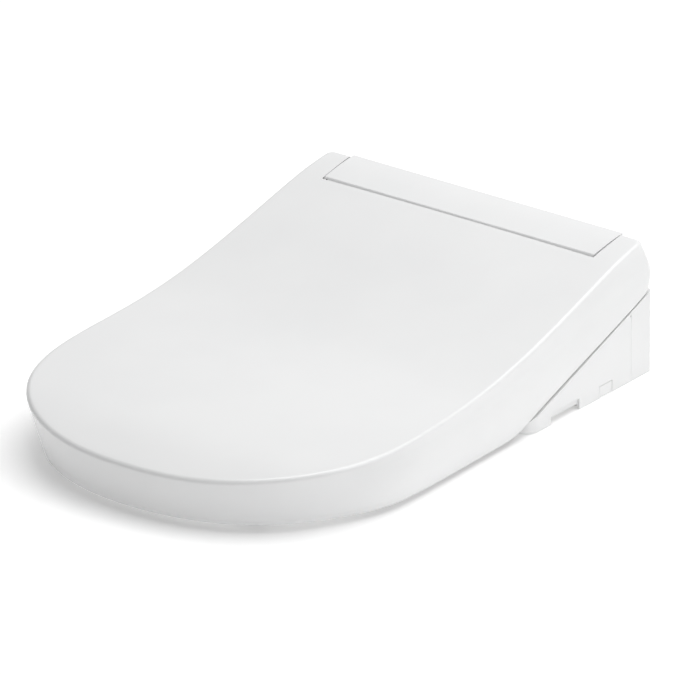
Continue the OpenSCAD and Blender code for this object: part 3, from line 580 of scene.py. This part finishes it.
def lid_skin():
    """The lid's shell: top surface, rolled edge, skirt and inner face, with the notch for the deck panel."""
    y_rear, y_notch = REAR_Y - UPPER_IN - EDGE_R, notch_front()
    rows = [y_rear - d for d in (0, 1.5, 3, 4.5, 6)] + [-18, -24, -30, -36, -42, y_notch]
    rows += list(np.linspace(y_notch, WIDEST_Y, 41)[1:])
    r_notch, n_row = rows.index(y_notch), len(rows) + N_NOSE
    pos, rim = {}, {}
    side_rows(rows, r_notch, pos, rim)
    nose_rows(len(rows) - 1, pos, rim)

    # round the boundary, from one side of the notch to the other
    loop = [(0, c) for c in range(C_RIGHT, N_COL)] + [(r, N_COL - 1) for r in range(1, n_row)]
    loop += [(n_row - 1, c) for c in range(N_COL - 2, -1, -1)] + [(r, 0) for r in range(n_row - 2, -1, -1)]
    loop += [(0, c) for c in range(1, C_LEFT + 1)]
    for key in loop:  # the boundary of the top surface follows the rim exactly
        pos[key] = moved_in(rim[key], upper_in(rim[key]) + EDGE_R)

    verts, faces = [], []

    def vert(x, y, z):
        verts.append((x, y, z))
        return len(verts) - 1

    top, under = {}, {}
    for (r, c), (x, y) in pos.items():
        z = min(float(top_z(x, y)), TOP_LIMIT)
        top[r, c] = vert(x, y, z)
        under_y = y
        if r == r_notch and C_LEFT <= c <= C_RIGHT:  # the notch's front face is an arc about the hinge axis
            under_y = AXIS_Y - math.sqrt((NOTCH_R + 0.1) ** 2 - (z - WALL - AXIS_Z) ** 2)
        under[r, c] = vert(x, under_y, z - WALL)
    for r in range(n_row - 1):
        for c in range(N_COL - 1):
            if r < r_notch and C_LEFT <= c < C_RIGHT:
                continue
            q = [(r, c), (r, c + 1), (r + 1, c + 1), (r + 1, c)]
            faces.append([top[k] for k in q])
            faces.append([under[k] for k in reversed(q)])

    outside, inside = [], []
    for key in loop:
        down_out, down_in = skirt(rim[key], vert)
        outside.append([top[key]] + down_out)
        inside.append([under[key]] + down_in)
    for a, b, ai, bi in zip(outside, outside[1:], inside, inside[1:]):
        for k in range(len(a) - 1):
            faces.append([a[k], b[k], b[k + 1], a[k + 1]])
        for k in range(len(ai) - 1):
            faces.append([ai[k + 1], bi[k + 1], bi[k], ai[k]])
        faces.append([a[-1], b[-1], bi[-1], ai[-1]])

    # the cut faces of the notch, and of the skirt's two ends
    notch = [(r, C_RIGHT) for r in range(r_notch + 1)]
    notch += [(r_notch, c) for c in range(C_RIGHT - 1, C_LEFT - 1, -1)]
    notch += [(r, C_LEFT) for r in range(r_notch - 1, -1, -1)]
    for q, s in zip(notch, notch[1:]):
        faces.append([top[q], top[s], under[s], under[q]])
    for a, ai in ((outside[0], inside[0]), (outside[-1], inside[-1])):
        for k in range(len(ai) - 1):
            faces.append([a[k], ai[k], ai[k + 1], a[k + 1]])
        faces.append([a[-3], ai[-1], a[-2]])
        faces.append([a[-2], ai[-1], a[-1]])
    ob = mesh_piece("lid-skin", place(verts), faces, "lid", "gloss_white", 45)
    edge_bevel(ob, 0.5, 2, 50)
    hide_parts("lid_shell")


lid_skin()


# ---------------------------------------------------------------- lid liner and seat ring
def half_rim(rear, r, sides, nose, across):
    """Half of the outline, as [x, y, inward x, inward y], from the middle of the rear edge round to the tip.

    The inward shares fade along the straight stretches, so that an inset outline never folds at a corner.
    """
    x0 = float(side_x(rear))
    pts = [((x0 - r) * (i + 0.5) / across, rear, (i + 0.5) / across, 1.0) for i in range(across)]
    n_corner = 8
    for i in range(n_corner + 1):
        a = math.pi / 2 * (1 - i / n_corner)
        pts.append((x0 - r + r * math.cos(a), rear - r + r * math.sin(a), 1.0, 1.0))
    for i in range(1, sides + 1):
        y = rear - r + (WIDEST_Y - rear + r) * i / sides
        pts.append((float(side_x(y)), y, 1.0, 1 - i / sides))
    pts += [nose_pt(90.0 * i / nose) for i in range(1, nose + 1)]
    return pts


def full_rim(*shape):
    """The whole outline: half_rim and its mirror image."""
    h = half_rim(*shape)
    return h + [(-x, y, -nx, ny) for x, y, nx, ny in reversed(h[:-1])]


def rings_mesh(rings, closed_section=False):
    """Faces between successive closed rings of points; closed_section joins the last ring to the first."""
    n = len(rings[0])
    verts = [p for ring in rings for p in ring]
    faces = []
    m = len(rings)
    for k in range(m if closed_section else m - 1):
        a, b = k * n, ((k + 1) % m) * n
        for i in range(n):
            j = (i + 1) % n
            faces.append((a + i, a + j, b + j, b + i))
    return verts, faces


def lid_liner():
    """The flat inner panel of the lid, with a shallow moulded groove round it."""
    rim = full_rim(-75.0, 14.0, 40, 44, 16)
    mid_y = -255.0
    back, face = 7.2, 9.8  # depths of its two faces under the lid's top

    def edge(extra):
        return [(x - nx * (float(side_upper(y)) + extra), y - ny * (UPPER_IN + extra))
                for x, y, nx, ny in rim]

    def at(points, drop):
        return [(x, y, float(top_z(x, y)) - drop) for x, y in points]

    def scaled(points, f):
        return [(x * f, mid_y + (y - mid_y) * f) for x, y in points]

    steps = [i / 22 for i in range(1, 22)]
    rings = [at(scaled(edge(8.4), f), back) for f in steps]
    # from the back face out round the upstanding edge, then in over the face and its groove
    section = [(8.4, back), (8.4, 2.7), (6.0, 2.7), (6.0, 8.6), (6.15, 9.05), (6.6, 9.5), (7.2, 9.72),
               (8.0, face), (17.0, face), (18.0, 9.5), (19.4, 9.2), (20.8, 9.5), (21.8, face)]
    rings += [at(edge(extra), drop) for extra, drop in section]
    rings += [at(scaled(edge(21.8), f), face) for f in reversed(steps)]
    verts, faces = rings_mesh(rings)
    n = len(rim)
    for ring, drop in ((0, back), (len(rings) - 1, face)):
        verts.append((0.0, mid_y, float(top_z(0.0, mid_y)) - drop))
        c = len(verts) - 1
        for i in range(n):
            faces.append((ring * n + i, ring * n + (i + 1) % n, c))
    ob = mesh_piece("lid-liner", place(verts), faces, "lid", "inner_white", 50)
    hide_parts("lid_liner")


lid_liner()

# The seat's opening: half width, front, rear, and the power of its superellipse
HOLE_W, HOLE_FRONT, HOLE_REAR, HOLE_N = 108.0, -468.0, -205.0, 2.3
HOLE_MID, HOLE_HALF = (HOLE_FRONT + HOLE_REAR) / 2, (HOLE_REAR - HOLE_FRONT) / 2
# The seat's rear edge before its inset, and how far its outline stands inside the lid's
SEAT_REAR, SEAT_IN, SEAT_IN_REAR = -165.0, 16.0, 13.0
# Depth of the seat's top under the lid's, and the height of its underside and the rise of that at the rear
SEAT_DROP, SEAT_LOW, SEAT_LOW_RISE = 16.0, 10.0, 32.0


def hole_pt(x, y):
    """The point of the opening's edge in the direction of x, y from its middle."""
    dx, dy = x, y - HOLE_MID
    d = math.hypot(dx, dy)
    ux, uy = dx / d, dy / d
    r = ((abs(ux) / HOLE_W) ** HOLE_N + (abs(uy) / HOLE_HALF) ** HOLE_N) ** (-1 / HOLE_N)
    return ux * r, HOLE_MID + uy * r


def reach(d, width):
    """The distance d, drawn together past its first 10 mm where the ring is narrower than 70 mm."""
    a = abs(d)
    kept, narrow, wide = 10, 24, 70
    k = max(0.0, min(1.0, (width - narrow) / (wide - narrow)))
    return math.copysign(a if a <= kept else kept + (a - kept) * k, d)


def seat_sweep(name, section, node, levels):
    """A moulding swept round the seat.

    Each point of section is the distance in from the outer edge, or if negative that from the opening, then 1
    if its height is from the seat's top and 0 if from its underside, and then that height.
    """
    rings = [[] for _ in section]
    for x, y, nx, ny in full_rim(SEAT_REAR, 9.0, 20, 30, 10):
        ox, oy = x - nx * SEAT_IN, y - ny * (SEAT_IN_REAR if ny > 0 else SEAT_IN)
        ix, iy = hole_pt(ox, oy)
        width = math.hypot(ix - ox, iy - oy)
        for k, (d, top, h) in enumerate(section):
            e = reach(d, width)
            f = (width + e if d < 0 else e) / width
            qx, qy = ox + (ix - ox) * f, oy + (iy - oy) * f
            low = SEAT_LOW + SEAT_LOW_RISE * float(smooth(-236, -200, qy))
            z = float(lid_top(qy)) - SEAT_DROP if top else low
            rings[k].append((qx, qy, z + h))
    verts, faces = rings_mesh(rings, closed_section=True)
    ob = mesh_piece(name, place(verts), faces, "seat", "inner_white", 60)
    if levels:
        sub = ob.modifiers.new("smooth", "SUBSURF")
        sub.levels = sub.render_levels = levels
    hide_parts(node)


seat_sweep("seat-ring-top", [
    (6, 0, 1.8), (3, 0, 1.8), (1.5, 0, 1.9), (1.2, 0, 2.6), (0.6, 1, -9), (1, 1, -5), (1.7, 1, -3.2),
    (3, 1, -1.9), (5.5, 1, -0.8), (10, 1, -0.05), (20, 1, -0.1), (34, 1, -0.8), (-22, 1, -3),
    (-14, 1, -4.7), (-9, 1, -6.4), (-5.5, 1, -8.4), (-3, 1, -10.8), (-1.2, 1, -14), (-0.4, 1, -18),
    (-0.9, 0, 2.6), (-1.3, 0, 1.9), (-2.2, 0, 1.8), (-4, 0, 1.8), (-3.4, 1, -17), (-5.5, 1, -12.5),
    (-11, 1, -9), (-23, 1, -6), (34, 1, -3.8), (10, 1, -3), (5.5, 1, -4.2), (4, 1, -6.5), (3.6, 1, -9),
    (9, 0, 1.8)], "seat_ring_top", 1)
seat_sweep("seat-ring-base", [
    (7.4, 0, 0), (6.8, 0, 0.15), (6.4, 0, 0.5), (6.3, 0, 1), (9, 0, 1), (30, 0, 1), (-20, 0, 1),
    (-4, 0, 1), (-1.3, 0, 1), (-1.4, 0, 0.5), (-1.8, 0, 0.15), (-2.6, 0, 0), (-14, 0, 0), (-15, 0, 0.35),
    (-17, 0, 0.35), (-18, 0, 0), (30, 0, 0), (22, 0, 0), (21, 0, 0.35), (19, 0, 0.35),
    (18, 0, 0)], "seat_ring_bottom", 0)


# ---------------------------------------------------------------- body covers
def bow_rear(verts):
    """The deck panel's rear edge bows: its ends stand a little further forward than its middle."""
    half_width, bow = 148.5, 0.8
    v = verts.copy()
    x = v[:, 0] / MM / half_width
    y = v[:, 1] / MM - SETBACK
    v[:, 1] -= MM * bow * np.clip(x * x, 0, 1) * smooth(-30, 0, y)
    return v


rounded("top_panel", 0.9, "gloss_white", 4, adjust=bow_rear)
rounded("side_cover_right", 0.45, "gloss_white")
rounded("side_cover_left", 0.45, "gloss_white")
rounded("rear_cover", 0.5, "gloss_white")
rounded("release_button", 0.5, "gloss_white")
rounded("top_cover", 0.8, "inner_white")
rounded("front_fascia", 0.4, "inner_white")
rounded("seat_arms", 1.2, "inner_white")
rounded("base_plate", 0.6, "light_plastic")
rounded("base_chassis", 0.3, "light_plastic", 2)
rounded("nozzle_shutter", 0.4, "inner_white")
rounded("lid_hinge_lugs", 0.5, "inner_white")
rounded("cord_gland", 0.5, "dark_plastic")


# ---------------------------------------------------------------- small turned parts
def buffer(name, at, z0, height, r, body):
    """A soft pad with a domed foot, a waist and a shallow cup in its face. z0 is the foot."""
    section = [(0, 0.5), (r * 0.3, 0.45), (r * 0.42, 0.1), (r * 0.55, 0), (r * 0.78, 0.12), (r * 0.92, 0.6),
               (r * 0.985, 1.3), (r, 2.2), (r, height * 0.45), (r * 0.96, height * 0.5),
               (r * 0.96, height * 0.62), (r, height * 0.67), (r, height), (0, height)]
    return turned(name, [(x, z0 + z) for x, z in section], (*at, 0), body, "grey_rubber")


def buffers(body, spots, height, r, foot):
    """Pads in pairs, left and right; foot(y) is the height of a pad's foot."""
    count = 0
    for x, y in spots:
        for side in (-1, 1):
            ob = buffer(f"{body}-pad-{count}", (side * x, y), foot(y), height, r, body)
            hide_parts(f"{body}_bumpers")
            count += 1


buffers("lid", [(165, -330), (105, -478)], 6.4, 6.0, lambda y: float(lid_top(y)) - 15.4)
buffers("seat", [(148, -290), (98, -478)], 10.0, 9.0, lambda y: 0.0)


def aux_button(node, y):
    """A round button with a softly raised rim, flush with the left side."""
    section = [(0, 0.45), (1.8, 0.4), (3.2, 0.25), (4.2, 0.05), (4.6, 0), (4.85, 0.1), (5, 0.4), (5, 4),
               (0, 4)]
    profile = [(r, depth - BODY_HW) for r, depth in section]
    ob = turned(node.replace("_", "-"), profile, (0, y, 18.5), node, "light_plastic", "X")
    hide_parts(node)


aux_button("aux_button_front", -138.0)
aux_button("aux_button_rear", -121.0)


def inlet_thread():
    """The half-inch water connection: a helical thread, a collar and the bore."""
    r_out, r_in, pitch = 10.48, 9.45, 1.814
    sides, x0, x1 = 72, -189.2, -174.6
    centre = (0, -46.0, 25.0)
    run_out = 0.4 * sides  # the thread rises from the core over this many steps at each end
    verts, faces = [], []
    steps = int((x1 - x0) / pitch * sides)
    root, crest = r_in + 0.05, r_out - 0.1
    shape = [(0.0, r_in), (0.32, root), (0.44, crest), (0.56, crest), (0.68, root)]
    for i in range(steps + 1):
        a = 2 * math.pi * i / sides
        fade = min(1.0, i / run_out, (steps - i) / run_out)
        for f, r in shape:
            rr = r_in + (r - r_in) * fade
            verts.append((x0 + pitch * (i / sides + f) - pitch * 0.5, rr * math.cos(a), rr * math.sin(a)))
    m = len(shape)
    for i in range(steps):
        for k in range(m - 1):
            a, b = i * m + k, (i + 1) * m + k
            faces.append((a, a + 1, b + 1, b))
    v = np.array(verts) + np.array(centre)
    thread = mesh_piece("inlet-thread", place(v), faces, "root", "plated_brass", 80)
    prof = [(4, -171), (8, -171), (8, -189.6), (8.4, -190), (9.1, -190), (9.45, -189.4), (9.45, -174.2),
            (9.9, -173.6), (9.9, -173), (12.6, -173), (13, -172.6), (13, -169.4), (12.6, -169), (7, -169),
            (7, -150), (4, -150), (4, -171)]
    barrel = turned("inlet-barrel", prof, centre, "root", "plated_brass", "X", 96)
    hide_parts("water_inlet")
    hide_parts("water_inlet")


inlet_thread()


# ---------------------------------------------------------------- stage, light and camera
def floor():
    """A wide pale floor, just under the feet, that glows a little so that shadows stay soft."""
    s = 14.0  # half its size
    mat, nt, b = nodes_of("pale-floor", (0.80, 0.80, 0.80), 0.9)
    vary_colour(nt, b, noise(nt, coords(nt), 3.0), (0.795, 0.795, 0.795), (0.805, 0.805, 0.805))
    b.inputs["Specular IOR Level"].default_value = 0.0
    b.inputs["Emission Color"].default_value = (1, 1, 1, 1)
    b.inputs["Emission Strength"].default_value = 0.31
    me = bpy.data.meshes.new("floor")
    me.from_pydata([(-s, -s, 0), (s, -s, 0), (s, s, 0), (-s, s, 0)], [], [(0, 1, 2, 3)])
    me.materials.append(mat)
    ob = bpy.data.objects.new("floor", me)
    ob.location.z = -0.0005
    scene.collection.objects.link(ob)


floor()


def area(name, energy, size, loc, aim):
    """A rectangular softbox that looks from loc at aim."""
    light = bpy.data.lights.new(name, "AREA")
    light.shape = "RECTANGLE"
    light.size, light.size_y = size
    light.energy = energy
    ob = bpy.data.objects.new(name, light)
    ob.location = loc
    ob.rotation_euler = (Vector(aim) - Vector(loc)).to_track_quat("-Z", "Y").to_euler()
    scene.collection.objects.link(ob)


area("top-softbox", 87.0, (2.8, 3.0), (0.5, 0.35, 2.75), (0, -0.15, 0.0))
area("right-softbox", 12.0, (1.8, 1.6), (2.6, 0.2, 1.3), (0, -0.15, 0.05))
area("back-softbox", 15.0, (4.5, 2.2), (-1.5, 4.2, 2.1), (0, -0.15, 0.0))

world = bpy.data.worlds.new("studio")
world.use_nodes = True
world.node_tree.nodes["Background"].inputs["Color"].default_value = (1, 1, 1, 1)
world.node_tree.nodes["Background"].inputs["Strength"].default_value = 0.2
scene.world = world
scene.view_settings.view_transform = "Standard"

# The point that the camera looks at, the direction of the camera from it, and how far off it stands
AIM = Vector((-0.00298, -0.15705, 0.06107))
TOWARDS = Vector((0.5455, -0.7372, 0.3987))
CAMERA_DISTANCE = 23.261
cam = bpy.data.cameras.new("camera")
cam.lens = 1400.0
cam.sensor_width = 36.0
cam.clip_start = 0.5
cam.clip_end = 90.0
cam_ob = bpy.data.objects.new("camera", cam)
cam_ob.location = AIM + CAMERA_DISTANCE * TOWARDS
cam_ob.rotation_euler = (-TOWARDS).to_track_quat("-Z", "Y").to_euler()
scene.collection.objects.link(cam_ob)
scene.camera = cam_ob

bpy.context.view_layer.update()
